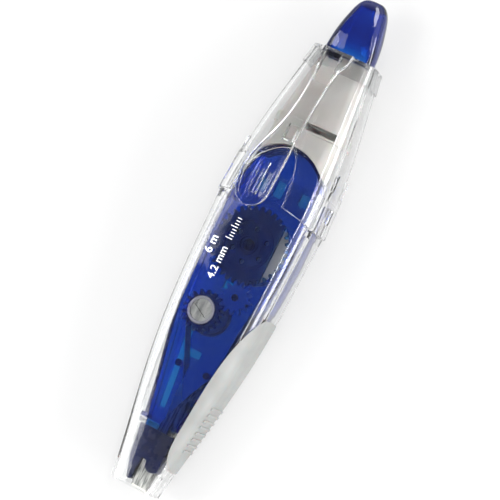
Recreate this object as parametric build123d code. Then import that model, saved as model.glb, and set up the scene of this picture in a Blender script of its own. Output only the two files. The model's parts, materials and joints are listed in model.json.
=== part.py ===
"""Pen-style retractable correction tape roller, in millimetres.

It lies on its broad back. X runs along the body, with the knock button at +X and the
open tip at -X. Y runs across the width. Z points out of the broad front, where the
clip is. A station is a distance along the body, counted from the open tip, and a
height is counted from the long axis, which runs AXIS_Z above the rest plane.
"""
from build123d import *
import os
from math import acos, atan2, cos, degrees, hypot, pi, sin, sqrt

# ---------------------------------------------------------------- driving dimensions
LENGTH = 137.6          # open tip to the top of the knock button
AXIS_Z = 8.3            # long axis above the rest plane
TRAVEL = 7.0            # stroke of the knock button
RUN = 0.05              # radial clearance of a running fit
GAP = 0.15              # clearance between parts that slide past each other

# Cross-sections: station, width, depth, corner radius.
BARREL = [(0, 12.6, 9.4, 2.4), (20, 19.0, 12.2, 3.0), (40, 24.5, 15.4, 3.9),
          (60, 26.8, 17.1, 4.3), (80, 27.9, 17.7, 4.4)]
CASING = [(75, 27.9, 17.7, 4.4), (89, 26.6, 17.1, 4.2), (101, 23.8, 15.3, 3.8),
          (111, 20.7, 13.1, 3.2), (121.3, 17.4, 10.7, 2.6)]
SKIRT = [(75, 28.8, 18.8, 4.6), (93.5, 27.3, 17.6, 4.3)]
BUTTON = [(120.45, 14.0, 8.4, 2.4), (126.7, 12.7, 7.5, 2.3), (132.5, 10.3, 6.3, 2.0),
          (135.4, 8.4, 5.1, 1.7), (136.8, 6.6, 4.1, 1.4), (137.6, 4.2, 2.4, 0.8)]
SLIDER = [(101.5, 18.6, 10.4, 2.4), (120.3, 12.9, 7.5, 2.0)]

FACE_CROWN = 0.45       # bulge of the broad faces
SIDE_CROWN = 0.30       # bulge of the narrow sides
BARREL_WALL = 1.1
CASING_WALL = 1.0
SPIGOT_WALL = 0.75      # barrel end that enters the casing
SPIGOT_TOP = 86.0

SKIRT_LOW = 79.2        # station of the skirt's lower edge on the centre line
SKIRT_HIGH = 90.4       # station of its upper edge there
SKIRT_ARCH = 42.0       # plan radius of both edges

HOOK_LOW = 81.0         # snap hook on each narrow side of the barrel
HOOK_HIGH = 84.0
HOOK_HALF = 1.8
HOOK_RISE = 0.65

CASE_TOP = 120.6        # end of the casing under the clip ring
RING_LOW = 116.1
RING_TOP = 121.3
RING_PROUD = 0.5

# Cartridge
CELL = 5.1              # half thickness of the cartridge
SHELL = 0.8             # wall of its two shells
NOSE = 17.0             # station of its lower end
CELL_EDGE = [(13.0, 9.8, 7.0, 1.3), (28.1, 14.6, 9.3, 1.5), (39.7, 19.2, 10.5, 1.6),
             (47.7, 21.6, 11.1, 1.7), (57.0, 23.2, 11.1, 1.7), (66.0, 24.0, 11.1, 1.7),
             (78.0, 23.3, 11.1, 1.7), (99.0, 23.3, 11.1, 1.7)]      # rounds its long edges
SUPPLY = (67.3, 0.0)    # supply reel centre: station, y
TAKE_UP = (47.3, 3.4)   # take-up reel centre
MODULE = 0.6
SUPPLY_TEETH = 33
IDLER_TEETH = 13
TAKE_UP_TEETH = 17
ADDENDUM = 0.5
DEDENDUM = 0.7
BACKLASH = 0.12
GEAR_LOW = 2.5          # gear layer, heights from the axis
GEAR_HIGH = 3.7
TAPE_LOW = -3.0         # tape layer, as deep as the tape is wide
TAPE_HIGH = 1.2
TAPE = 0.15             # tape thickness with its carrier film
FULL_ROLL = 8.8         # outer radius of the new tape
USED_ROLL = 4.9         # outer radius of the spent film

HEAD_Y = -1.3           # centre of the tape head
HEAD_HALF = 2.3         # half its width


# ---------------------------------------------------------------- helpers
def x_at(station):
    """X of a station along the body."""
    return station - LENGTH / 2


def across(station):
    """Plane across the body: local x is Y, local y is Z."""
    return Plane(origin=(x_at(station), 0, AXIS_Z), x_dir=(0, 1, 0), z_dir=(1, 0, 0))


def level(height):
    """Plane parallel to the broad faces: local x is the station, local y is Y."""
    return Plane(origin=(x_at(0), 0, AXIS_Z + height), x_dir=(1, 0, 0), z_dir=(0, 0, 1))


def crowned(width, depth, corner):
    """Rounded rectangle whose four sides bulge a little."""
    w = width / 2 - SIDE_CROWN
    d = depth / 2 - FACE_CROWN
    rim = [
        ThreePointArc((-w, -d), (0, -depth / 2), (w, -d)),
        ThreePointArc((w, -d), (width / 2, 0), (w, d)),
        ThreePointArc((w, d), (0, depth / 2), (-w, d)),
        ThreePointArc((-w, d), (-width / 2, 0), (-w, -d)),
    ]
    face = make_face(rim)
    return fillet(face.vertices(), corner)


def body(stations, grow=0.0):
    """Smooth spindle through the stations, grown outward by grow."""
    sections = []
    for station, width, depth, corner in stations:
        face = crowned(width + 2 * grow, depth + 2 * grow, max(corner + grow, 0.3))
        sections.append(across(station) * face)
    return loft(sections)


def block(s0, s1, y0, y1, h0, h1):
    """Box between two stations, two y values and two heights."""
    centre = ((x_at(s0) + x_at(s1)) / 2, (y0 + y1) / 2, AXIS_Z + (h0 + h1) / 2)
    return Pos(*centre) * Box(s1 - s0, y1 - y0, h1 - h0)


def disc(centre, radius, h0, h1):
    """Cylinder about a Z axis through centre, between two heights."""
    s, y = centre
    return Pos(x_at(s), y, AXIS_Z + (h0 + h1) / 2) * Cylinder(radius, h1 - h0)


def ring(centre, outer, inner, h0, h1):
    """Tube about a Z axis."""
    return disc(centre, outer, h0, h1) - disc(centre, inner, h0 - 1, h1 + 1)


def prism(edges, h0, h1):
    """Solid over a plan outline, between two heights."""
    return extrude(level(h0) * make_face(edges), h1 - h0)


def arch(apex, grow=0.0):
    """Everything on the tip side of an arched edge with its crest at apex."""
    return disc((apex - SKIRT_ARCH, 0), SKIRT_ARCH + grow, -15, 15)


def above_rest(solid):
    """Flatten the lowest part of the back into the plane the object rests on."""
    return solid - Pos(0, 0, -10) * Box(2 * LENGTH, 80, 20)


def soften(solid, chosen, radius):
    """Round the edges that lie, all along, where chosen says."""
    edges = [edge for edge in solid.edges()
             if all(chosen(edge.position_at(share)) for share in (0.05, 0.5, 0.95))]
    return fillet(edges, radius)


def gear(centre, teeth, h0, h1, turn=0.0):
    """Spur gear with involute flanks, one tooth pointing along turn (degrees)."""
    pitch = MODULE * teeth / 2
    base = pitch * cos(pi / 9)
    tip = pitch + ADDENDUM
    root = pitch - DEDENDUM
    start = max(base, root)

    def roll(radius):
        """Involute angle at a radius."""
        return sqrt(max(radius ** 2 / base ** 2 - 1, 0)) - acos(min(base / radius, 1))

    half = (pi * MODULE / 2 - BACKLASH) / (2 * pitch) + roll(pitch)
    middle = (start + tip) / 2

    def at(radius, angle):
        return (radius * cos(angle), radius * sin(angle))

    face = Circle(root)
    flank_low = half - roll(start)
    flank_mid = half - roll(middle)
    flank_tip = half - roll(tip)
    inner = root - 0.15
    for number in range(teeth):
        a = 2 * pi * number / teeth + turn * pi / 180
        outline = [
            Line(at(inner, a + flank_low), at(start, a + flank_low)),
            ThreePointArc(at(start, a + flank_low), at(middle, a + flank_mid),
                          at(tip, a + flank_tip)),
            ThreePointArc(at(tip, a + flank_tip), at(tip, a), at(tip, a - flank_tip)),
            ThreePointArc(at(tip, a - flank_tip), at(middle, a - flank_mid),
                          at(start, a - flank_low)),
            Line(at(start, a - flank_low), at(inner, a - flank_low)),
            Line(at(inner, a - flank_low), at(inner, a + flank_low)),
        ]
        face += make_face(outline)
    s, y = centre
    return extrude(level(h0) * Pos(s, y) * face, h1 - h0)


# ---------------------------------------------------------------- barrel and grip
def pad_outline(grow=0.0):
    """Plan area of the grip pad, on the -Y side."""
    far = -20.0
    edge = Spline((53.0 + grow, -13.6), (46.0, -10.9 + grow), (39.7, -9.1 + grow),
                  (30.0, -7.4 + grow), (18.0, -6.1 + grow), (11.0, -6.0 + grow),
                  (7.0 - grow, -7.7))
    return [edge, Line((7.0 - grow, -7.7), (7.0 - grow, far)),
            Line((7.0 - grow, far), (53.0 + grow, far)),
            Line((53.0 + grow, far), (53.0 + grow, -13.6))]


LIP = 4.9               # length of the thicker rim at the open tip
LIP_WALL = 1.45
PAD_DEEP = 0.6          # recess in the barrel under the pad
PAD_PROUD = 0.15
RIB_PROUD = 0.45
RIBS = 8
RIB_FIRST = 13.4
RIB_STEP = 1.8
RIB_WIDTH = 0.7


def lower_barrel():
    """Clear one-piece tube, open at the tip, with a spigot that enters the casing."""
    tube = body(BARREL) & arch(SKIRT_LOW, -0.1)
    tube -= body(BARREL, -BARREL_WALL)
    rim = body(BARREL, -BARREL_WALL / 2) - body(BARREL, -LIP_WALL)
    tube += rim & block(0, LIP, -20, 20, -15, 15)
    spigot = body(CASING, -CASING_WALL - 0.1) & block(75.2, SPIGOT_TOP, -20, 20, -15, 15)
    spigot -= body(CASING, -CASING_WALL - 0.1 - SPIGOT_WALL)
    tube += spigot
    for side in (-1, 1):
        low, high = sorted((side * 11.9, side * 14.0))
        hook = block(HOOK_LOW, HOOK_HIGH, low, high, -HOOK_HALF, HOOK_HALF)
        hook &= body(CASING, -CASING_WALL + HOOK_RISE)
        hook -= body(CASING, -CASING_WALL - 0.3)
        tube += hook
    recess = body(BARREL, 2.0) - body(BARREL, -PAD_DEEP)
    tube -= recess & prism(pad_outline(0.06), -15, 15)
    return above_rest(tube)


def grip_pad():
    """Soft pad over one narrow side and the front corner, with finger ribs."""
    skin = body(BARREL, PAD_PROUD) - body(BARREL, -PAD_DEEP + 0.03)
    pad = skin & prism(pad_outline(), -15, 15)
    raised = body(BARREL, RIB_PROUD) - body(BARREL, 0.0)
    for number in range(RIBS):
        low = RIB_FIRST + number * RIB_STEP
        reach = 3.4 + 0.12 * number
        pad += raised & block(low, low + RIB_WIDTH, -20, -6.6, -reach, reach)
    return above_rest(pad)


# ---------------------------------------------------------------- casing, ring, clip
SLOT = (-0.3, 4.0)      # y limits of the slot for the button's tooth
TOOTH = (119.2, 120.55)
TOOTH_TOP = 6.25
GROOVE = 13.6           # reach of the grooves that the snap hooks slide in
RIM_ROUND = 0.4         # rounding of the skirt's lower edge
NOTCH_ROUND = 0.2       # rounding of the notch's edge
HEEL = (95.1, 98.3)     # clip heel, stations
HEEL_Y = (0.5, 3.1)


def notch_outline():
    """Cut-out in the casing's front, under the clip's paddle."""
    right = Spline((93.6, -0.4), (90.3, -2.8), (85.4, -4.1), (74.0, -5.5))
    left = Spline((74.0, 9.9), (85.0, 8.7), (90.3, 5.6), (93.6, -0.4))
    return [right, Line((74.0, -5.5), (74.0, 9.9)), left]


def on_skirt_rim(point):
    """Whether a point lies on the arch of the skirt's lower edge."""
    reach = hypot(point.X - x_at(SKIRT_LOW - SKIRT_ARCH), point.Y)
    return abs(reach - SKIRT_ARCH) < 0.02


def on_notch_rim(point):
    """Whether a point lies on the outer edge of the cut-out, above the skirt's rim."""
    outside = point.Z > AXIS_Z + 7.9 and not on_skirt_rim(point)
    return outside and point.X < x_at(93.7) and -5.7 < point.Y < 9.95


def upper_casing():
    """Clear upper casing: an arched skirt outside the barrel and a tapering hood."""
    outer = body(CASING) & block(75.5, CASE_TOP, -20, 20, -15, 15)
    band = arch(SKIRT_HIGH) + block(80, 92.6, -20, -9, -4.3, 4.3)
    band += block(80, 92.6, 9, 20, -4.3, 4.3)
    outer += body(SKIRT) & band & block(75.5, 93, -20, 20, -15, 15)
    outer = soften(outer - arch(SKIRT_LOW), on_skirt_rim, RIM_ROUND)
    outer = soften(outer - prism(notch_outline(), 4, 15), on_notch_rim, NOTCH_ROUND)
    case = outer - body(CASING, -CASING_WALL)
    for side in (-1, 1):
        low, high = sorted((side * 9.0, side * 18.0))
        window = block(HOOK_LOW - 0.4, HOOK_HIGH + 0.4, low, high, -2.2, 2.2)
        low, high = sorted((side * 9.0, side * GROOVE))
        groove = block(74, HOOK_HIGH, low, high, -2.2, 2.2)
        groove &= body(CASING, -CASING_WALL + HOOK_RISE + GAP)
        case -= window
        case -= groove
    case -= block(TOOTH[0] - TRAVEL - 0.4, CASE_TOP + 1, *SLOT, 3.0, 9.0)
    case -= block(HEEL[0] - 0.4, HEEL[1] + 1.0, HEEL_Y[0] - 0.4, HEEL_Y[1] + 0.4, 5.0, 10.0)
    seat = block(102.2, 103.4, -1.5, 1.5, -6.6, -1.0)
    seat += extrude(across(102.2) * Circle(2.9), 1.2)
    seat += block(99.6, 103.4, -0.6, 0.6, -6.6, -5.55)
    seat &= body(CASING, -CASING_WALL / 2)
    case += seat
    return above_rest(case)


BRACKET = [(121.3, -3.3), (121.3, 4.8), (118.6, 4.6), (116.3, 4.2), (116.3, -1.7),
           (118.6, -2.9)]


def clip_ring():
    """Cap ring on the casing's top, with the bracket that holds the clip."""
    cap = body(CASING, RING_PROUD) & block(RING_LOW, RING_TOP, -20, 20, -15, 15)
    bracket = prism([Polyline(*BRACKET, close=True)], 0, 9)
    side = make_face(Polyline((121.3, 0), (121.3, 7.3), (120.4, 7.7), (116.0, 8.1),
                              (116.0, 0), close=True))
    side_plane = Plane(origin=(x_at(0), 0, AXIS_Z), x_dir=(1, 0, 0), z_dir=(0, -1, 0))
    bracket &= extrude(side_plane * side, 10, both=True)
    cap += bracket
    cap -= body(CASING, 0.04) & block(RING_LOW - 1, CASE_TOP + 0.05, -20, 20, -15, 15)
    mouth = across(110) * crowned(14.0 + 2 * GAP, 8.4 + 2 * GAP, 2.5)
    cap -= extrude(mouth, 20)
    cap -= block(RING_LOW - 1, TOOTH[1] + 0.1, *SLOT, 2.0, TOOTH_TOP + 0.2)
    return cap


CLIP_END = 75.6
CLIP_ROUND = 0.35       # rounding of the clip's long edges


def clip_plan(inset=0.0):
    """Plan outline of the clip: a narrow neck that flares into a paddle."""
    i = inset
    right = Spline((116.26, -1.7 + i), (105.6, -0.9 + i), (94.0, -1.1 + i),
                   (80.2, -0.9 + i))
    left = Spline((80.2, 8.1 - i), (90.3, 7.5 - i), (97.5, 5.2 - i), (105.6, 4.0 - i),
                  (116.26, 4.2 - i))
    end = ThreePointArc((80.2, -0.9 + i), (CLIP_END + i, 3.6), (80.2, 8.1 - i))
    return [right, end, left, Line((116.26, 4.2 - i), (116.26, -1.7 + i))]


def clip_side(sink=0.0):
    """Side view of the clip arm, its upper face lowered by sink."""
    upper = Spline((116.26, 8.1 - sink), (105, 9.6 - sink), (94, 11.3 - sink),
                   (84, 11.9 - sink), (74, 11.6 - sink))
    lower = Spline((74, 10.4), (84, 10.55), (94, 9.8), (105, 8.15), (116.26, 6.65))
    return [upper, Line((74, 11.6 - sink), (74, 10.4)), lower,
            Line((116.26, 6.65), (116.26, 8.1 - sink))]


def pocket_clip():
    """Clear pocket clip with a dished paddle and a heel that reaches into the casing."""
    side_plane = Plane(origin=(x_at(0), 15, AXIS_Z), x_dir=(1, 0, 0), z_dir=(0, -1, 0))
    arm = extrude(side_plane * make_face(clip_side()), 30) & prism(clip_plan(), 0, 20)
    broad = [face for face in arm.faces() if abs(face.normal_at().Z) > 0.7]
    edges = [edge for face in broad for edge in face.edges()]
    arm = fillet([edge for edge in edges if edge.center().X < x_at(116)], CLIP_ROUND)
    dish = extrude(side_plane * make_face(clip_side(0.45)), 30)
    hollow = prism(clip_plan(1.0), 0, 20) & block(70, 101, -20, 20, 0, 20)
    arm -= hollow - dish
    arm += block(*HEEL, *HEEL_Y, 6.15, 9.6)
    rib = block(79.0, 87.9, 2.6, 5.4, 9.3, 10.9) - block(79.6, 87.3, 3.2, 4.8, 9.0, 10.9)
    return arm + rib


# ---------------------------------------------------------------- knock mechanism
BUTTON_FLOOR = 121.65   # top of the button's solid foot


def knock_button():
    """Hollow bullet-shaped button with a retaining tooth on its front."""
    shell = body(BUTTON)
    shell -= body(BUTTON[:-2], -1.2) & block(BUTTON_FLOOR, 135.2, -20, 20, -15, 15)
    tooth_y = (SLOT[0] + GAP, SLOT[1] - GAP)
    shell += block(TOOTH[0], BUTTON_FLOOR, *tooth_y, 2.5, 3.6)
    shell += block(*TOOTH, *tooth_y, 3.4, TOOTH_TOP)
    return shell + block(116.4, BUTTON_FLOOR, -2.6, 2.6, -2.1, 2.1)


def cartridge_area(inset=0.0):
    """Plan outline of the cartridge, from its square nose to its domed top."""
    i = inset
    nose = NOSE + i
    left = Spline((nose, 5.1 - i), (28.1, 6.9 - i), (39.7, 9.2 - i), (47.7, 10.4 - i),
                  (57.0, 11.1 - i), (66.0, 11.7 - i), (78.0, 11.4 - i), (88.0, 10.9 - i))
    dome = ThreePointArc((88.0, 10.9 - i), (94.4 - i, 1.2), (86.5, -11.0 + i))
    right = Spline((86.5, -11.0 + i), (78.0, -11.4 + i), (66.0, -11.8 + i),
                   (57.0, -11.3 + i), (47.7, -10.0 + i), (39.7, -9.0 + i),
                   (28.1, -6.9 + i), (nose, -5.1 + i))
    return [left, dome, right, Line((nose, -5.1 + i), (nose, 5.1 - i))]


FOOT_SLOT = (99.75, 101.6)      # stations of the slot across the slider's foot


def inner_slider():
    """Opaque push tube: a spring housing, a foot flange and a collar on the cartridge."""
    hood = body(SLIDER) - body(SLIDER, -1.0)
    hood += body(SLIDER) & block(116.8, 121, -20, 20, -15, 15)
    flange = across(99.2) * crowned(19.6, 11.6, 2.6)
    hood += extrude(flange, 2.5)
    collar = extrude(across(86.0) * crowned(18.8, 10.8, 2.6), 13.3)
    collar -= extrude(across(85.0) * crowned(16.8, 8.8, 1.8), 13.0)
    collar -= prism(cartridge_area(-GAP), -15, 15)
    hood += collar
    hood += extrude(across(99.3) * Circle(3.9), 18.6)
    hood -= extrude(across(99.9) * Circle(3.1), 21)
    hood -= block(102.0, 115.0, -1.75, 1.75, -9, 0)
    hood -= block(115.9, 121.0, -2.8, 2.8, -2.3, 2.3)
    hood -= block(119.0, 121.0, SLOT[0], SLOT[1], 2.3, 5.0)
    hood -= block(*FOOT_SLOT, -8.3, 0.4, 1.5, 8.0)
    hood -= block(98.0, 103.6, -0.8, 0.8, -7, -5.35)
    for side in (-1, 1):
        outer = sorted((side * 2.8, side * 3.7))
        inner = sorted((side * 1.75, side * 3.7))
        hood += block(94.95, 99.3, *outer, -1.6, 1.6)
        hood += block(94.95, 96.0, *inner, -1.6, 1.6)
    return hood


SPRING_LOW = 103.45
SPRING_HIGH = 116.35
WIRE = 0.5
COILS = 8


def return_spring():
    """Compression spring between the casing's seat and the button."""
    rise = SPRING_HIGH - SPRING_LOW - WIRE
    path = Helix(pitch=rise / COILS, height=rise, radius=2.5)
    start = Plane(origin=path @ 0, z_dir=path % 0)
    coil = sweep(start * Circle(WIRE / 2), path=path)
    upright = Plane(origin=(x_at(SPRING_LOW + WIRE / 2), 0, AXIS_Z),
                    x_dir=(0, 1, 0), z_dir=(1, 0, 0))
    return upright * coil


# ---------------------------------------------------------------- cartridge
def wedge_limits(inset=0.0):
    """Side view of the cartridge: full thickness that thins towards the nose."""
    i = inset
    return Polyline((NOSE + i, -3.4 + i), (28, -4.2 + i), (46, -CELL + i),
                    (98, -CELL + i), (98, CELL - i), (46, CELL - i), (28, 4.2 - i),
                    (NOSE + i, 3.4 - i), close=True)


def cell(inset=0.0):
    """Cartridge envelope, drawn in by inset."""
    side_plane = Plane(origin=(x_at(0), 0, AXIS_Z), x_dir=(1, 0, 0), z_dir=(0, -1, 0))
    side = extrude(side_plane * make_face(wedge_limits(inset)), 15, both=True)
    return prism(cartridge_area(inset), -8, 8) & side & body(CELL_EDGE, -inset)


def idler_centre():
    """Idler position that meshes with both the supply and the take-up gears."""
    a = MODULE * (SUPPLY_TEETH + IDLER_TEETH) / 2
    b = MODULE * (TAKE_UP_TEETH + IDLER_TEETH) / 2
    ds = TAKE_UP[0] - SUPPLY[0]
    dy = TAKE_UP[1] - SUPPLY[1]
    c = sqrt(ds ** 2 + dy ** 2)
    along = (a ** 2 - b ** 2 + c ** 2) / (2 * c)
    aside = sqrt(a ** 2 - along ** 2)
    return (SUPPLY[0] + (along * ds - aside * dy) / c,
            SUPPLY[1] + (along * dy + aside * ds) / c)


def angle_to(start, end):
    """Direction from one centre to another, in degrees."""
    return degrees(atan2(end[1] - start[1], end[0] - start[0]))


def meshing_turn(centre_a, teeth_a, turn_a, centre_b, teeth_b):
    """Turn of gear b that puts its gaps on the teeth of gear a."""
    line = angle_to(centre_a, centre_b)
    share = ((line - turn_a) / (360 / teeth_a)) % 1
    return line + 180 + (share + 0.5) * 360 / teeth_b


IDLER = idler_centre()
SUPPLY_TURN = angle_to(SUPPLY, IDLER)
IDLER_TURN = meshing_turn(SUPPLY, SUPPLY_TEETH, SUPPLY_TURN, IDLER, IDLER_TEETH)
TAKE_UP_TURN = meshing_turn(IDLER, IDLER_TEETH, IDLER_TURN, TAKE_UP, TAKE_UP_TEETH)

SUPPLY_POST = 1.5
IDLER_POST = 0.9
TAKE_UP_POST = 1.2
GUIDE_POST = 0.9
GUIDE_OUT = (33.0, -4.9)    # guides the new tape
GUIDE_BACK = (33.0, 3.4)    # guides the spent film
HUB = 3.6                   # take-up hub that shows in the front shell
PARTING = 0.02              # half gap between the shells


# Openings in the back shell: two stations and two y values, and one along its edge.
BACK_WINDOWS = [(54.7, 57.1, 0.3, 4.4), (35.6, 37.6, 1.0, 6.6), (82.0, 85.4, -6.4, -4.0),
                (81.8, 86.0, 1.0, 3.6), (81.8, 85.4, 5.9, 8.4)]
EDGE_WINDOW = [(21.0, 3.2), (21.0, 5.0), (39.7, 7.7), (50.5, 9.1), (50.5, 7.2), (39.7, 5.7)]


def nose_opening():
    """Way out for both tape runs, through the cartridge's lower end."""
    return block(16, 18.4, -4.25, 4.1, -2.2, 2.2)


def cartridge_front_shell():
    """Translucent front half, with a window over the gear and a hole for the hub."""
    shell = cell() - cell(SHELL)
    shell &= block(0, 120, -20, 20, PARTING, 10)
    shell += ring(SUPPLY, 6.7, 6.1, CELL - 0.3, CELL + 0.35)
    shell += ring(SUPPLY, 2.7, 2.0, CELL - 0.3, CELL + 0.35)
    shell -= disc(SUPPLY, 10.6, 3, 8) & block(40, 90, -20, -7.0, 3, 8)
    shell -= disc(TAKE_UP, HUB + 0.25, 3, 8)
    shell += ring(TAKE_UP, HUB + 1.0, HUB + 0.25, CELL - 0.3, CELL + 0.25)
    shell -= disc((53.0, -11.6), 1.1, -8, 8)
    shell -= nose_opening()
    shell += block(15.5, 17.8, -2.8, 3.9, 2.4, 3.3)
    return shell + block(17.0, 18.1, 4.2, 6.4, 0.3, 2.6)


def cartridge_back_shell():
    """Translucent back half, with the axle posts, tape guides and the pull tang."""
    shell = cell() - cell(SHELL)
    shell &= block(0, 120, -20, 20, -10, -PARTING)
    floor = -CELL + SHELL / 2
    shell += disc(SUPPLY, SUPPLY_POST, floor, 4.1)
    shell += disc(IDLER, IDLER_POST, floor, 3.9)
    shell += disc(IDLER, 1.6, floor, GEAR_LOW - 0.12)
    shell += disc(TAKE_UP, TAKE_UP_POST, floor, 3.0)
    for post in (GUIDE_OUT, GUIDE_BACK):
        shell += disc(post, GUIDE_POST, -3.9, 2.6)
    shell += block(93.6, 96.3, -1.5, 1.5, -1.4, -0.1)
    shell += block(96.15, 97.6, -2.6, 2.6, -1.4, -0.1)
    shell -= disc((53.0, -11.6), 1.1, -8, 8)
    for low, high, y_low, y_high in BACK_WINDOWS:
        shell -= block(low, high, y_low, y_high, -8, -3.4)
    shell -= prism([Polyline(*EDGE_WINDOW, close=True)], -8, -2.6)
    return shell - nose_opening()


def supply_gear():
    """Pale gear of the supply reel, with the hub that runs on the post."""
    wheel = gear(SUPPLY, SUPPLY_TEETH, GEAR_LOW, GEAR_HIGH, SUPPLY_TURN)
    wheel += ring(SUPPLY, 6.4, 5.7, GEAR_HIGH - 0.1, GEAR_HIGH + 0.25)
    wheel += ring(SUPPLY, 3.3, 2.5, GEAR_HIGH - 0.1, GEAR_HIGH + 0.25)
    wheel += disc(SUPPLY, 2.3, -3.5, GEAR_LOW + 0.1)
    for number in range(6):
        hole = Rot(0, 0, 60 * number) * Pos(4.5, 0) * Circle(0.7)
        s, y = SUPPLY
        wheel -= extrude(level(GEAR_LOW - 1) * Pos(s, y) * hole, 4)
    return wheel - disc(SUPPLY, SUPPLY_POST + RUN, -6, 6)


def supply_spool():
    """Flanged core that carries the new tape and slips on the gear's hub."""
    spool = ring(SUPPLY, 3.6, 2.78, -3.9, GEAR_LOW - 0.15)
    return spool + ring(SUPPLY, 9.3, 2.4, -3.95, -3.55)


def clutch_ring():
    """Friction ring between the spool and the gear's hub."""
    return ring(SUPPLY, 2.76, 2.32, -0.6, 0.5)


def correction_tape_roll():
    """New correction tape on its spool."""
    return ring(SUPPLY, FULL_ROLL, 3.64, TAPE_LOW, TAPE_HIGH)


def take_up_reel():
    """Take-up core with its gear and the hub that shows through the front shell."""
    reel = gear(TAKE_UP, TAKE_UP_TEETH, GEAR_LOW, GEAR_HIGH, TAKE_UP_TURN)
    reel += disc(TAKE_UP, 4.0, -3.9, GEAR_LOW + 0.1)
    reel += disc(TAKE_UP, 5.5, -3.95, -3.6)
    reel += disc(TAKE_UP, HUB, GEAR_HIGH - 0.1, CELL + 0.1)
    reel -= disc(TAKE_UP, HUB - 0.65, 4.0, 8)
    return reel - disc(TAKE_UP, TAKE_UP_POST + RUN, -6, 3.15)


def take_up_dial():
    """Grey disc in the hub, with the slot for tightening a slack tape."""
    dial = disc(TAKE_UP, HUB - 0.7, 4.03, CELL - 0.15)
    s, y = TAKE_UP
    slot = Pos(x_at(s), y, AXIS_Z + CELL) * Rot(0, 0, 62) * Box(4.6, 0.8, 0.9)
    return dial - slot


def used_tape_roll():
    """Spent carrier film on the take-up core."""
    return ring(TAKE_UP, USED_ROLL, 4.04, TAPE_LOW, TAPE_HIGH)


def idler_gear():
    """Small gear between the supply and take-up gears."""
    wheel = gear(IDLER, IDLER_TEETH, GEAR_LOW, GEAR_HIGH, IDLER_TURN)
    return wheel - disc(IDLER, IDLER_POST + RUN, 0, 6)


# ---------------------------------------------------------------- tape and its head
TIP = 0.62              # centre of the head's rounded edge
TIP_RADIUS = 0.32
HEAD_THICK = 1.0        # half thickness where the head leaves its holder
FILM_GAP = 0.04


def side_view(edges, half_width, centre=0.0):
    """Solid from a side view of stations and heights, spread over a width."""
    plane = Plane(origin=(x_at(0), centre, AXIS_Z), x_dir=(1, 0, 0), z_dir=(0, -1, 0))
    return extrude(plane * make_face(edges), half_width, both=True)


def tape_head():
    """Clear head: a flange at the cartridge's nose and a blade with a rounded edge."""
    blade = side_view(
        [Polyline((TIP, -TIP_RADIUS), (7.0, -HEAD_THICK), (16.2, -HEAD_THICK),
                  (16.2, HEAD_THICK), (7.0, HEAD_THICK), (TIP, TIP_RADIUS)),
         ThreePointArc((TIP, TIP_RADIUS), (TIP - TIP_RADIUS, 0), (TIP, -TIP_RADIUS))],
        HEAD_HALF, HEAD_Y)
    flange = block(15.7, 16.6, -5.3, 6.1, -3.1, 3.1)
    flange -= block(15, 17.5, -4.4, 4.4, HEAD_THICK, 2.3)
    flange -= block(15, 17.5, -4.4, 4.4, -2.3, -HEAD_THICK)
    flange -= block(15, 17.5, -2.95, 4.05, 2.2, 4.0)
    cheek = side_view(
        Polyline((1.4, -0.75), (2.4, -1.2), (6.4, -1.6), (6.4, 1.6), (2.4, 1.2),
                 (1.4, 0.75), close=True), 0.12, HEAD_Y - HEAD_HALF)
    return blade + flange + cheek + Pos(0, 2 * HEAD_HALF, 0) * cheek


def tip_holder():
    """Navy holder that steadies the head between a long and a short prong."""
    plan = [
        Polyline((15.4, -4.9), (15.4, 5.1), (7.0, 4.05), (2.1, 2.75)),
        ThreePointArc((2.1, 2.75), (1.35, 1.95), (2.2, 1.35)),
        Polyline((2.2, 1.35), (7.7, 0.8), (7.4, -0.6), (5.9, -0.9)),
        ThreePointArc((5.9, -0.9), (5.0, -2.6), (5.9, -4.3)),
        Line((5.9, -4.3), (15.4, -4.9)),
    ]
    holder = prism(plan, -5, 5)
    holder &= side_view(
        Polyline((15.4, -3.1), (15.4, 3.1), (6.0, 2.45), (1.3, 1.5), (1.3, -1.5),
                 (6.0, -2.45), close=True), 10)
    holder -= side_view(
        Polyline((15.5, -2.45), (10.5, -1.75), (0, -1.75), (0, 1.75), (10.5, 1.75),
                 (15.5, 2.45), close=True), 2.6, HEAD_Y)
    return holder


def tangent(centre_a, offset_a, centre_b, offset_b):
    """Ends of the line that passes two centres at signed distances to its left."""
    ds = centre_b[0] - centre_a[0]
    dy = centre_b[1] - centre_a[1]
    length = sqrt(ds ** 2 + dy ** 2)
    lean = (offset_a - offset_b) / length
    straight = sqrt(1 - lean ** 2)
    n = ((lean * ds - straight * dy) / length, (lean * dy + straight * ds) / length)
    return ((centre_a[0] + offset_a * n[0], centre_a[1] + offset_a * n[1]),
            (centre_b[0] + offset_b * n[0], centre_b[1] + offset_b * n[1]))


def upright_strip(start, end):
    """Tape stretch that stands on edge between two plan points."""
    ds = end[0] - start[0]
    dy = end[1] - start[1]
    length = sqrt(ds ** 2 + dy ** 2)
    middle = ((start[0] + end[0]) / 2, (start[1] + end[1]) / 2)
    strip = Rot(0, 0, degrees(atan2(dy, ds))) * Box(length, TAPE, TAPE_HIGH - TAPE_LOW)
    height = AXIS_Z + (TAPE_LOW + TAPE_HIGH) / 2
    return Pos(x_at(middle[0]), middle[1], height) * strip


TWIST_STEPS = 6
TWIST_END = 17.3


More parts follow.
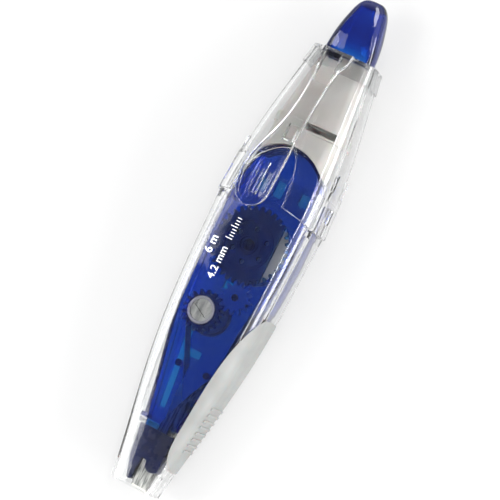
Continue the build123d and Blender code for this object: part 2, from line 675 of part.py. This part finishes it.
def twisted_strip(start, side):
    """Tape stretch that turns a quarter from a guide post to the head's face."""
    sections = []
    height_from = (TAPE_LOW + TAPE_HIGH) / 2
    height_to = side * (HEAD_THICK + FILM_GAP + TAPE / 2)
    for step in range(TWIST_STEPS + 1):
        t = step / TWIST_STEPS
        station = start[0] + (TWIST_END - start[0]) * t
        y = start[1] + (HEAD_Y - start[1]) * t
        height = height_from + (height_to - height_from) * t
        strip = Pos(y, height) * Rot(0, 0, -side * 90 * t) * Rectangle(TAPE, TAPE_HIGH - TAPE_LOW)
        sections.append(across(station) * strip)
    return loft(sections, ruled=True)


def flat_strip(side):
    """Tape stretch on one face of the head, down to its rounded edge."""
    near = HEAD_THICK + FILM_GAP
    tip = TIP_RADIUS + FILM_GAP
    return side_view(
        Polyline((TWIST_END, side * near), (7.0, side * near), (TIP, side * tip),
                 (TIP, side * (tip + TAPE)), (7.0, side * (near + TAPE)),
                 (TWIST_END, side * (near + TAPE)), close=True), (TAPE_HIGH - TAPE_LOW) / 2, HEAD_Y)


def tape_supply_run():
    """New tape from the roll past its guide to the head's edge."""
    leave, arrive = tangent(SUPPLY, FULL_ROLL + TAPE, GUIDE_OUT, GUIDE_POST + TAPE)
    run = upright_strip(leave, arrive)
    return run + twisted_strip(arrive, 1) + flat_strip(1)


def tape_return_run():
    """Spent film from under the head's edge back to the take-up roll."""
    leave, arrive = tangent(GUIDE_BACK, -GUIDE_POST - TAPE, TAKE_UP, USED_ROLL + TAPE)
    run = upright_strip(leave, arrive)
    inner = TIP_RADIUS + FILM_GAP
    outer = inner + TAPE
    bend = side_view(
        [ThreePointArc((TIP, inner), (TIP - inner, 0), (TIP, -inner)),
         Line((TIP, -inner), (TIP, -outer)),
         ThreePointArc((TIP, -outer), (TIP - outer, 0), (TIP, outer)),
         Line((TIP, outer), (TIP, inner))], (TAPE_HIGH - TAPE_LOW) / 2, HEAD_Y)
    return run + twisted_strip(leave, -1) + flat_strip(-1) + bend


# ---------------------------------------------------------------- export
PIECES = [
    lower_barrel, grip_pad, upper_casing, clip_ring, pocket_clip, knock_button,
    inner_slider, return_spring, cartridge_front_shell, cartridge_back_shell,
    supply_gear, supply_spool, clutch_ring, correction_tape_roll, take_up_reel,
    take_up_dial, used_tape_roll, idler_gear, tape_head, tip_holder, tape_supply_run,
    tape_return_run,
]

os.makedirs("parts", exist_ok=True)
for piece in PIECES:
    export_step(piece(), "parts/" + piece.__name__ + ".step")
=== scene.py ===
"""Looks of the retractable correction tape roller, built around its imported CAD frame.

The roller lies on its broad back. X runs from the open tip to the push button, Y runs
across the width, and Z points out of the front, where the pocket clip is. Lengths are
in metres, and a comment says where they are in mm. A station is a distance along the
body from the open tip, in mm.
"""
import json
from math import cos, log, pi, radians, sin

import bmesh
import bpy
from mathutils import Matrix, Vector
from mathutils.bvhtree import BVHTree


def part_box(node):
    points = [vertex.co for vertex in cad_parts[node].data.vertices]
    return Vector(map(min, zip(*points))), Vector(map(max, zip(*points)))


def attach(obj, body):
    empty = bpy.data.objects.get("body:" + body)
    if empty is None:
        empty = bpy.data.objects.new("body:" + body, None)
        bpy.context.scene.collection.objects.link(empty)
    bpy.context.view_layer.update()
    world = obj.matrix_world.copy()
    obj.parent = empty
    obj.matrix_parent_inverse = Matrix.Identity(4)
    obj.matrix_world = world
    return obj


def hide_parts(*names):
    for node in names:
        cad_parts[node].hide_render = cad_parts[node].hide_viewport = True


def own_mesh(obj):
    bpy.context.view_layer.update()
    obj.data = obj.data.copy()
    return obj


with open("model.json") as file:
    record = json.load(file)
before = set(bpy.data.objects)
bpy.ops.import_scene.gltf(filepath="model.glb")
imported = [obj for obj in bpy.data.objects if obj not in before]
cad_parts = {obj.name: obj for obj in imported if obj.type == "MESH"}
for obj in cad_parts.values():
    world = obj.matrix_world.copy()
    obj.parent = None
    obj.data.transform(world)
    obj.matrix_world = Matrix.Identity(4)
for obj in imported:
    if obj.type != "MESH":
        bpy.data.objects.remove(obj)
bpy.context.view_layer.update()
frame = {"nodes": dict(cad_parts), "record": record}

MM = 0.001
TIP_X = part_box("lower_barrel")[0].x
AXIS_Z = 0.0083          # the long axis above the floor

scene = bpy.context.scene


def at(station, y, height):
    """Point from a station, a y value and a height above the long axis, all in mm."""
    return Vector((TIP_X + station * MM, y * MM, AXIS_Z + height * MM))


# ---------------------------------------------------------------- material helpers
PLASTIC_IOR = 1.50
SOLID_IOR = 1.48
NOISE_SPAN = (0.3, 0.7)  # most of a noise's values lie in here
TONE_SPAN = (0.35, 0.65)
EVEN = (1, 1, 1)         # noise that isn't stretched


def new_material(name):
    """Node material: returns it with its Principled shader and its node tree."""
    material = bpy.data.materials.new(name)
    material.use_nodes = True
    tree = material.node_tree
    return material, tree.nodes["Principled BSDF"], tree


def new_clear_material(name, transmission):
    """The same, for plastic that lets light through."""
    material, shader, tree = new_material(name)
    shader.inputs["Transmission Weight"].default_value = transmission
    shader.inputs["IOR"].default_value = PLASTIC_IOR
    return material, shader, tree


def noise(tree, scale, detail=2.0, stretch=EVEN):
    """Noise in the object's own coordinates, scaled per metre."""
    coords = tree.nodes.new("ShaderNodeTexCoord")
    mapping = tree.nodes.new("ShaderNodeMapping")
    texture = tree.nodes.new("ShaderNodeTexNoise")
    mapping.inputs["Scale"].default_value = stretch
    texture.inputs["Scale"].default_value = scale
    texture.inputs["Detail"].default_value = detail
    tree.links.new(coords.outputs["Object"], mapping.inputs["Vector"])
    tree.links.new(mapping.outputs["Vector"], texture.inputs["Vector"])
    return texture


def vary_roughness(tree, shader, low, high, scale, stretch=EVEN):
    """Roughness that wanders between two values, as moulded surfaces do."""
    texture = noise(tree, scale, 3.0, stretch)
    span = tree.nodes.new("ShaderNodeMapRange")
    span.inputs["From Min"].default_value = NOISE_SPAN[0]
    span.inputs["From Max"].default_value = NOISE_SPAN[1]
    span.inputs["To Min"].default_value = low
    span.inputs["To Max"].default_value = high
    tree.links.new(texture.outputs["Fac"], span.inputs["Value"])
    tree.links.new(span.outputs["Result"], shader.inputs["Roughness"])


def vary_colour(tree, shader, first, second, scale, stretch=EVEN):
    """Base colour that drifts between two close tones."""
    texture = noise(tree, scale, 2.0, stretch)
    ramp = tree.nodes.new("ShaderNodeValToRGB")
    for element, position, tone in zip(ramp.color_ramp.elements, TONE_SPAN,
                                       (first, second)):
        element.position = position
        element.color = (*tone, 1)
    tree.links.new(texture.outputs["Fac"], ramp.inputs["Fac"])
    tree.links.new(ramp.outputs["Color"], shader.inputs["Base Color"])


def add_bump(tree, shader, scale, distance, strength=1.0, stretch=EVEN):
    """Fine relief: flow waves, grain or brushing."""
    texture = noise(tree, scale, 3.0, stretch)
    bump = tree.nodes.new("ShaderNodeBump")
    bump.inputs["Distance"].default_value = distance
    bump.inputs["Strength"].default_value = strength
    tree.links.new(texture.outputs["Fac"], bump.inputs["Height"])
    tree.links.new(bump.outputs["Normal"], shader.inputs["Normal"])


# ---------------------------------------------------------------- camera
YAW = radians(20)        # turn about the long axis, which shows the narrow -Y side
PITCH = radians(3)       # lean towards the open tip
LEAN = radians(26.6)     # tilt of the long axis from upright in the picture
FOCAL = 135.0            # mm
SENSOR = 36.0            # mm
FIELD = 0.1272           # width of the view at the object
AIM_BACK = 0.00229       # the view's centre, this far from the middle to the tip
AIM_LEFT = 0.00078       # and this far to the left of the long axis


def make_camera():
    """Looks down on the front, with the button at the upper right."""
    towards = Vector((-sin(PITCH), -sin(YAW) * cos(PITCH), cos(YAW) * cos(PITCH)))
    along = (Vector((1, 0, 0)) - towards * towards.x).normalized()
    right = along.cross(towards)
    up = along * cos(LEAN) - right * sin(LEAN)
    side = up.cross(towards)
    distance = FIELD * FOCAL / SENSOR
    centre = Vector((0, 0, AXIS_Z)) - along * AIM_BACK - right * AIM_LEFT
    data = bpy.data.cameras.new("camera")
    data.lens = FOCAL
    data.sensor_width = SENSOR
    data.clip_start = 0.01
    camera = bpy.data.objects.new("camera", data)
    scene.collection.objects.link(camera)
    basis = Matrix((side, up, towards)).transposed().to_4x4()
    camera.matrix_world = Matrix.Translation(centre + towards * distance) @ basis
    scene.camera = camera


# ---------------------------------------------------------------- light and floor
SKY_STRENGTH = 1.25
# Brightness by the height of a direction, and by its cosine to the patch's centre.
SKY_BY_HEIGHT = [(0.0, 0.5), (0.02, 0.16), (0.10, 0.30), (0.30, 1.15), (1.0, 1.15)]
SKY_PATCH = [(0.0, 1.0), (0.62, 1.0), (0.80, 0.10), (1.0, 0.06)]
LIGHTS = [               # name, place, width and height, power
    ("key_softbox", (-0.20, 0.54, 0.52), (0.52, 0.46), 4.8),
    ("front_card", (0.030, 0.37, 0.65), (0.10, 0.11), 0.09),
    ("side_strip", (0.05, -0.62, 0.26), (0.7, 0.20), 6.0),
    ("edge_strip", (0.10, -0.26, 0.64), (0.55, 0.05), 1.3),
    ("top_end_softbox", (0.55, 0.10, 0.52), (0.07, 0.30), 0.7),
    ("tip_end_softbox", (-0.55, 0.10, 0.52), (0.3, 0.3), 1.6),
]
FLOOR_HALF = 1.5
FLOOR_DROP = 0.0001      # keeps the floor just under the rest face
FLOOR_GREY = 0.26
FLOOR_GLOW = 0.48        # keeps the paper near white inside the object's shadow


def add_ramp(nodes, stops):
    """Grey colour ramp through (position, value) stops."""
    ramp = nodes.new("ShaderNodeValToRGB")
    elements = ramp.color_ramp.elements
    while len(elements) < len(stops):
        elements.new(0.5)
    for element, (position, value) in zip(elements, stops):
        element.position = position
        element.color = (value, value, value, 1)
    return ramp


def make_world():
    """Bright all round, with a dark patch where the front's reflections come from."""
    world = bpy.data.worlds.new("studio")
    scene.world = world
    world.use_nodes = True
    nodes = world.node_tree.nodes
    links = world.node_tree.links
    nodes.clear()
    out = nodes.new("ShaderNodeOutputWorld")
    background = nodes.new("ShaderNodeBackground")
    coords = nodes.new("ShaderNodeTexCoord")
    split = nodes.new("ShaderNodeSeparateXYZ")
    links.new(coords.outputs["Generated"], split.inputs[0])
    by_height = add_ramp(nodes, SKY_BY_HEIGHT)
    links.new(split.outputs["Z"], by_height.inputs["Fac"])
    facing = nodes.new("ShaderNodeVectorMath")
    facing.operation = "DOT_PRODUCT"
    facing.inputs[1].default_value = (0, sin(YAW), cos(YAW))
    links.new(coords.outputs["Generated"], facing.inputs[0])
    patch = add_ramp(nodes, SKY_PATCH)
    links.new(facing.outputs["Value"], patch.inputs["Fac"])
    product = nodes.new("ShaderNodeMix")
    product.data_type = "RGBA"
    product.blend_type = "MULTIPLY"
    product.inputs["Factor"].default_value = 1.0
    links.new(by_height.outputs["Color"], product.inputs["A"])
    links.new(patch.outputs["Color"], product.inputs["B"])
    links.new(product.outputs["Result"], background.inputs["Color"])
    background.inputs["Strength"].default_value = SKY_STRENGTH
    links.new(background.outputs[0], out.inputs["Surface"])


def make_light(name, place, size, power):
    """Area light that faces the object."""
    data = bpy.data.lights.new(name, "AREA")
    data.shape = "RECTANGLE"
    data.size, data.size_y = size
    data.energy = power
    lamp = bpy.data.objects.new(name, data)
    scene.collection.objects.link(lamp)
    place = Vector(place)
    away = place - Vector((0, 0, AXIS_Z))
    lamp.location = place
    lamp.rotation_euler = away.to_track_quat("Z", "Y").to_euler()


def make_floor():
    """Plain pale floor under the object."""
    half = FLOOR_HALF
    mesh = bpy.data.meshes.new("floor")
    corners = [(-half, -half, 0), (half, -half, 0), (half, half, 0), (-half, half, 0)]
    mesh.from_pydata(corners, [], [(0, 1, 2, 3)])
    floor = bpy.data.objects.new("floor", mesh)
    scene.collection.objects.link(floor)
    floor.location.z = -FLOOR_DROP
    material, shader, _ = new_material("floor_paper")
    shader.inputs["Base Color"].default_value = (FLOOR_GREY, FLOOR_GREY, FLOOR_GREY, 1)
    shader.inputs["Roughness"].default_value = 0.9
    shader.inputs["Emission Color"].default_value = (1, 1, 1, 1)
    shader.inputs["Emission Strength"].default_value = FLOOR_GLOW
    mesh.materials.append(material)


# ---------------------------------------------------------------- finishes
def clear_plastic(name, first, second, rough, wave=1.0):
    """Clear polystyrene with a faint haze and slight flow waves."""
    material, shader, tree = new_clear_material(name, 1.0)
    vary_colour(tree, shader, first, second, 90)
    vary_roughness(tree, shader, *rough, 160)
    add_bump(tree, shader, 110, 0.00006 * wave, 0.35, (0.5, 1, 1))
    return material


def tinted_plastic(name, wall, through, rough, haze, wave):
    """Coloured clear plastic. A wall of that thickness lets the through colour pass.

    Haze is the share of the light that doesn't pass, and wave is the relief's strength.
    """
    material, shader, tree = new_clear_material(name, 1.0 - haze)
    vary_colour(tree, shader, (0.48, 0.70, 0.97), (0.60, 0.78, 0.98), 120)
    vary_roughness(tree, shader, *rough, 220)
    add_bump(tree, shader, 150, 0.00004, wave)
    loss = [-log(share) / wall for share in through]
    density = max(loss) * 1.01
    dye = tree.nodes.new("ShaderNodeVolumeAbsorption")
    dye.inputs["Color"].default_value = (*[1 - each / density for each in loss], 1)
    dye.inputs["Density"].default_value = density
    output = tree.nodes["Material Output"]
    tree.links.new(dye.outputs["Volume"], output.inputs["Volume"])
    return material


def streaky_clear(name):
    """Clear plastic with lengthwise streaks, as a thin moulded blade shows."""
    material, shader, tree = new_clear_material(name, 0.93)
    vary_colour(tree, shader, (0.45, 0.45, 0.44), (0.98, 0.98, 0.97), 900, (0.12, 1, 1))
    vary_roughness(tree, shader, 0.02, 0.25, 500, (0.2, 1, 1))
    add_bump(tree, shader, 900, 0.00008, 0.6, (0.12, 1, 1))
    return material


def streaky_tape(name):
    """Whitish tape over the head, with fine grey lines along it."""
    material, shader, tree = new_material(name)
    vary_colour(tree, shader, (0.10, 0.11, 0.10), (0.80, 0.80, 0.77), 2300, (0.04, 1, 1))
    vary_roughness(tree, shader, 0.3, 0.55, 1500, (0.05, 1, 1))
    add_bump(tree, shader, 2300, 0.00003, 0.6, (0.04, 1, 1))
    return material


def brushed_silver(name):
    """Silvery disc with fine scratches across it."""
    material, shader, tree = new_material(name)
    shader.inputs["Metallic"].default_value = 0.55
    vary_colour(tree, shader, (0.24, 0.25, 0.245), (0.58, 0.58, 0.57), 260, (0.5, 3.0, 1))
    vary_roughness(tree, shader, 0.25, 0.45, 900, (1, 6, 1))
    add_bump(tree, shader, 700, 0.00003, 0.6, (0.4, 4.0, 1))
    return material


def solid_plastic(name, first, second, rough, grain, subsurface=0.0):
    """Opaque moulded plastic or rubber with a fine grain."""
    material, shader, tree = new_material(name)
    shader.inputs["Subsurface Weight"].default_value = subsurface
    shader.inputs["Subsurface Scale"].default_value = 0.001
    shader.inputs["IOR"].default_value = SOLID_IOR
    vary_colour(tree, shader, first, second, 140)
    vary_roughness(tree, shader, *rough, 400)
    add_bump(tree, shader, grain, 0.00002, 0.4)
    return material


def drawn_steel(name):
    """Drawn steel wire."""
    material, shader, tree = new_material(name)
    shader.inputs["Metallic"].default_value = 1.0
    vary_colour(tree, shader, (0.55, 0.55, 0.56), (0.70, 0.70, 0.71), 900)
    vary_roughness(tree, shader, 0.22, 0.38, 1500)
    return material


# Each finish's maker and its settings. The names that aren't the record's slots are in
# OWN_FINISH, apart from white_ink, which the printed marks take.
FINISHES = {
    "clear_plastic": (clear_plastic, (0.91, 0.92, 0.92), (0.95, 0.95, 0.95), (0.0, 0.05)),
    "frosted_clear": (clear_plastic, (0.86, 0.87, 0.87), (0.92, 0.92, 0.92), (0.10, 0.22),
                      2.0),
    "head_clear": (streaky_clear,),
    "streaky_tape": (streaky_tape,),
    "brushed_silver": (brushed_silver,),
    "blue_tint": (tinted_plastic, 0.8 * MM, (0.008, 0.34, 0.80), (0.01, 0.05), 0.02, 0.3),
    "blue_gloss": (tinted_plastic, 1.2 * MM, (0.012, 0.20, 0.58), (0.0, 0.02), 0.01,
                   0.04),
    "lilac_plastic": (solid_plastic, (0.28, 0.275, 0.34), (0.34, 0.335, 0.40),
                      (0.25, 0.4), 1200),
    # Painted shade: the pale supply gear is given a dark grey for the shade it sits in
    # inside the cartridge.
    "gear_grey": (solid_plastic, (0.19, 0.195, 0.22), (0.26, 0.265, 0.29), (0.35, 0.5),
                  1200),
    "navy_plastic": (solid_plastic, (0.003, 0.007, 0.045), (0.006, 0.012, 0.075),
                     (0.22, 0.34), 900),
    "pale_grey_plastic": (solid_plastic, (0.58, 0.555, 0.53), (0.65, 0.62, 0.595),
                          (0.35, 0.5), 1200, 0.15),
    "white_plastic": (solid_plastic, (0.80, 0.81, 0.80), (0.86, 0.87, 0.86), (0.3, 0.45),
                      1200, 0.1),
    "grip_rubber": (solid_plastic, (0.22, 0.225, 0.22), (0.25, 0.255, 0.25), (0.45, 0.6),
                    1800, 0.2),
    "clutch_rubber": (solid_plastic, (0.02, 0.02, 0.02), (0.04, 0.04, 0.04), (0.5, 0.7),
                      1500),
    "white_tape": (solid_plastic, (0.86, 0.86, 0.84), (0.92, 0.92, 0.90), (0.55, 0.7),
                   2500),
    "carrier_film": (solid_plastic, (0.74, 0.73, 0.66), (0.82, 0.81, 0.75), (0.25, 0.4),
                     2500),
    "spring_steel": (drawn_steel,),
    "white_ink": (solid_plastic, (0.78, 0.79, 0.83), (0.88, 0.89, 0.92), (0.4, 0.5), 2500),
}
OWN_FINISH = {           # nodes whose finish isn't their slot's
    "clip_ring": "frosted_clear", "tape_head": "head_clear", "supply_gear": "gear_grey",
    "take_up_reel": "lilac_plastic", "take_up_dial": "brushed_silver",
    "tape_supply_run": "streaky_tape",
}


def make_materials():
    """Every finish, by its name."""
    return {name: maker(name, *settings)
            for name, (maker, *settings) in FINISHES.items()}


def dress(materials):
    """Give each CAD node the finish of its slot, or its own."""
    for entry in frame["record"]["subparts"]:
        node = frame["nodes"][entry["node"]]
        material = materials[OWN_FINISH.get(entry["node"], entry["material_slot"])]
        node.data.materials.clear()
        node.data.materials.append(material)


def finish_mesh(name, mesh, material, smooth=True):
    """Object from a bmesh, with its material."""
    data = bpy.data.meshes.new(name)
    mesh.to_mesh(data)
    mesh.free()
    data.polygons.foreach_set("use_smooth", [smooth] * len(data.polygons))
    data.materials.append(material)
    piece = bpy.data.objects.new(name, data)
    scene.collection.objects.link(piece)
    return piece


# ---------------------------------------------------------------- return spring
SPRING_LOW = 103.45      # stations of the spring's two ends; lengths here are in mm
SPRING_HIGH = 116.35
SPRING_RADIUS = 2.5
WIRE_RADIUS = 0.25
WIRE_SIDES = 12
TURN_STEPS = 28          # steps in each turn
DEAD_TURNS = 1.0         # closed turns at each end
DEAD_PITCH = 0.53        # just over the wire's thickness
LIVE_TURNS = 7.5


def spring_line():
    """Points of the wire's centre line, with closed turns at both ends."""
    turns = LIVE_TURNS + 2 * DEAD_TURNS
    length = SPRING_HIGH - SPRING_LOW - 2 * WIRE_RADIUS
    live_pitch = (length - 2 * DEAD_TURNS * DEAD_PITCH) / LIVE_TURNS
    steps = int(turns * TURN_STEPS)
    points = []
    along = SPRING_LOW + WIRE_RADIUS
    for step in range(steps + 1):
        turn = turns * step / steps
        angle = 2 * pi * turn
        points.append(at(along, SPRING_RADIUS * cos(angle), SPRING_RADIUS * sin(angle)))
        closed = turn < DEAD_TURNS or turn >= turns - DEAD_TURNS
        along += (DEAD_PITCH if closed else live_pitch) * turns / steps
    return points


def tube(name, points, radius, sides, material):
    """Closed round wire along the points, with a radius in mm."""
    mesh = bmesh.new()
    rings = []
    for index, point in enumerate(points):
        before = points[max(index - 1, 0)]
        after = points[min(index + 1, len(points) - 1)]
        forward = (after - before).normalized()
        aside = forward.cross(Vector((1, 0, 0))).normalized()
        above = aside.cross(forward)
        ring = []
        for side in range(sides):
            angle = 2 * pi * side / sides
            offset = aside * cos(angle) + above * sin(angle)
            ring.append(mesh.verts.new(point + offset * radius * MM))
        rings.append(ring)
    for low, high in zip(rings, rings[1:]):
        for side in range(sides):
            following = (side + 1) % sides
            mesh.faces.new((low[side], low[following], high[following], high[side]))
    mesh.faces.new(rings[0])
    mesh.faces.new(rings[-1])
    bmesh.ops.recalc_face_normals(mesh, faces=mesh.faces)
    return finish_mesh(name, mesh, material)


def make_spring(materials):
    """Fine return spring in place of the CAD one, carried by the casing."""
    piece = tube("return_spring_coil", spring_line(), WIRE_RADIUS, WIRE_SIDES,
                 materials["spring_steel"])
    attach(piece, "casing")
    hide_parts("return_spring")
    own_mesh(piece)


# ---------------------------------------------------------------- printed marks
INK = 0.02               # thickness of the printed marks; lengths here are in mm
INK_GAP = 0.004          # keeps their underside off the barrel
LENGTH_AT = (61.0, 6.8)  # station and y of a line's start
WIDTH_AT = (55.4, 3.2)
FIRST_TICK = 11.0        # from the start of the width's line
TICK_STEP = 0.8
TICK_WIDTH = 0.2
TICK_COUNT = 8
TICK_SHORT = 1.2
TICK_TALL = 2.0
TALL_EVERY = 4
RAY_HEIGHT = 50.0        # above the long axis, where the rays start


def print_mesh(text, size, bold):
    """Flat outline mesh of a line of plain text, in mm, from its lower left corner."""
    curve = bpy.data.curves.new("print", "FONT")
    curve.body = text
    curve.size = size
    curve.offset = bold
    curve.resolution_u = 6
    holder = bpy.data.objects.new("print", curve)
    scene.collection.objects.link(holder)
    bpy.context.view_layer.update()
    flat = bpy.data.meshes.new_from_object(holder)
    bpy.data.objects.remove(holder)
    mesh = bmesh.new()
    mesh.from_mesh(flat)
    bpy.data.meshes.remove(flat)
    return mesh


def tick_mesh():
    """Flat row of ticks, with every fourth one taller."""
    mesh = bmesh.new()
    for number in range(TICK_COUNT):
        low = FIRST_TICK + number * TICK_STEP
        high = low + TICK_WIDTH
        tall = TICK_SHORT if number % TALL_EVERY else TICK_TALL
        corners = [(low, 0), (high, 0), (high, tall), (low, tall)]
        mesh.faces.new([mesh.verts.new((x, y, 0)) for x, y in corners])
    return mesh


def surface_of(node):
    """Tree for casting rays on a CAD node."""
    mesh = bmesh.new()
    mesh.from_mesh(frame["nodes"][node].data)
    tree = BVHTree.FromBMesh(mesh)
    mesh.free()
    return tree


def add_print(name, mesh, start, ink, surface):
    """Lay a flat mesh on the front surface as a thin layer of ink."""
    station, y = start
    bmesh.ops.triangulate(mesh, faces=mesh.faces)
    grown = bmesh.ops.extrude_face_region(mesh, geom=list(mesh.faces))
    upper = {item for item in grown["geom"] if isinstance(item, bmesh.types.BMVert)}
    for vert in mesh.verts:
        above = at(station + vert.co.x, y + vert.co.y, RAY_HEIGHT)
        hit = surface.ray_cast(above, Vector((0, 0, -1)))[0]
        lift = INK if vert in upper else INK_GAP
        vert.co = hit + Vector((0, 0, lift * MM))
    bmesh.ops.recalc_face_normals(mesh, faces=mesh.faces)
    piece = finish_mesh(name, mesh, ink, smooth=False)
    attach(piece, "barrel")


def make_marks(materials):
    """Plain size marks in white ink: a bold length and a lighter width with ticks."""
    ink = materials["white_ink"]
    surface = surface_of("lower_barrel")
    add_print("mark_length", print_mesh("6 m", 3.1, 0.06), LENGTH_AT, ink, surface)
    add_print("mark_width", print_mesh("4.2 mm", 2.9, 0.02), WIDTH_AT, ink, surface)
    add_print("mark_ticks", tick_mesh(), WIDTH_AT, ink, surface)


# ---------------------------------------------------------------- run
scene.view_settings.view_transform = "Standard"
scene.cycles.max_bounces = 32
scene.cycles.transmission_bounces = 32
scene.cycles.glossy_bounces = 12
scene.cycles.transparent_max_bounces = 32

make_camera()
make_world()
make_floor()
for light in LIGHTS:
    make_light(*light)
materials = make_materials()
dress(materials)
make_spring(materials)
make_marks(materials)
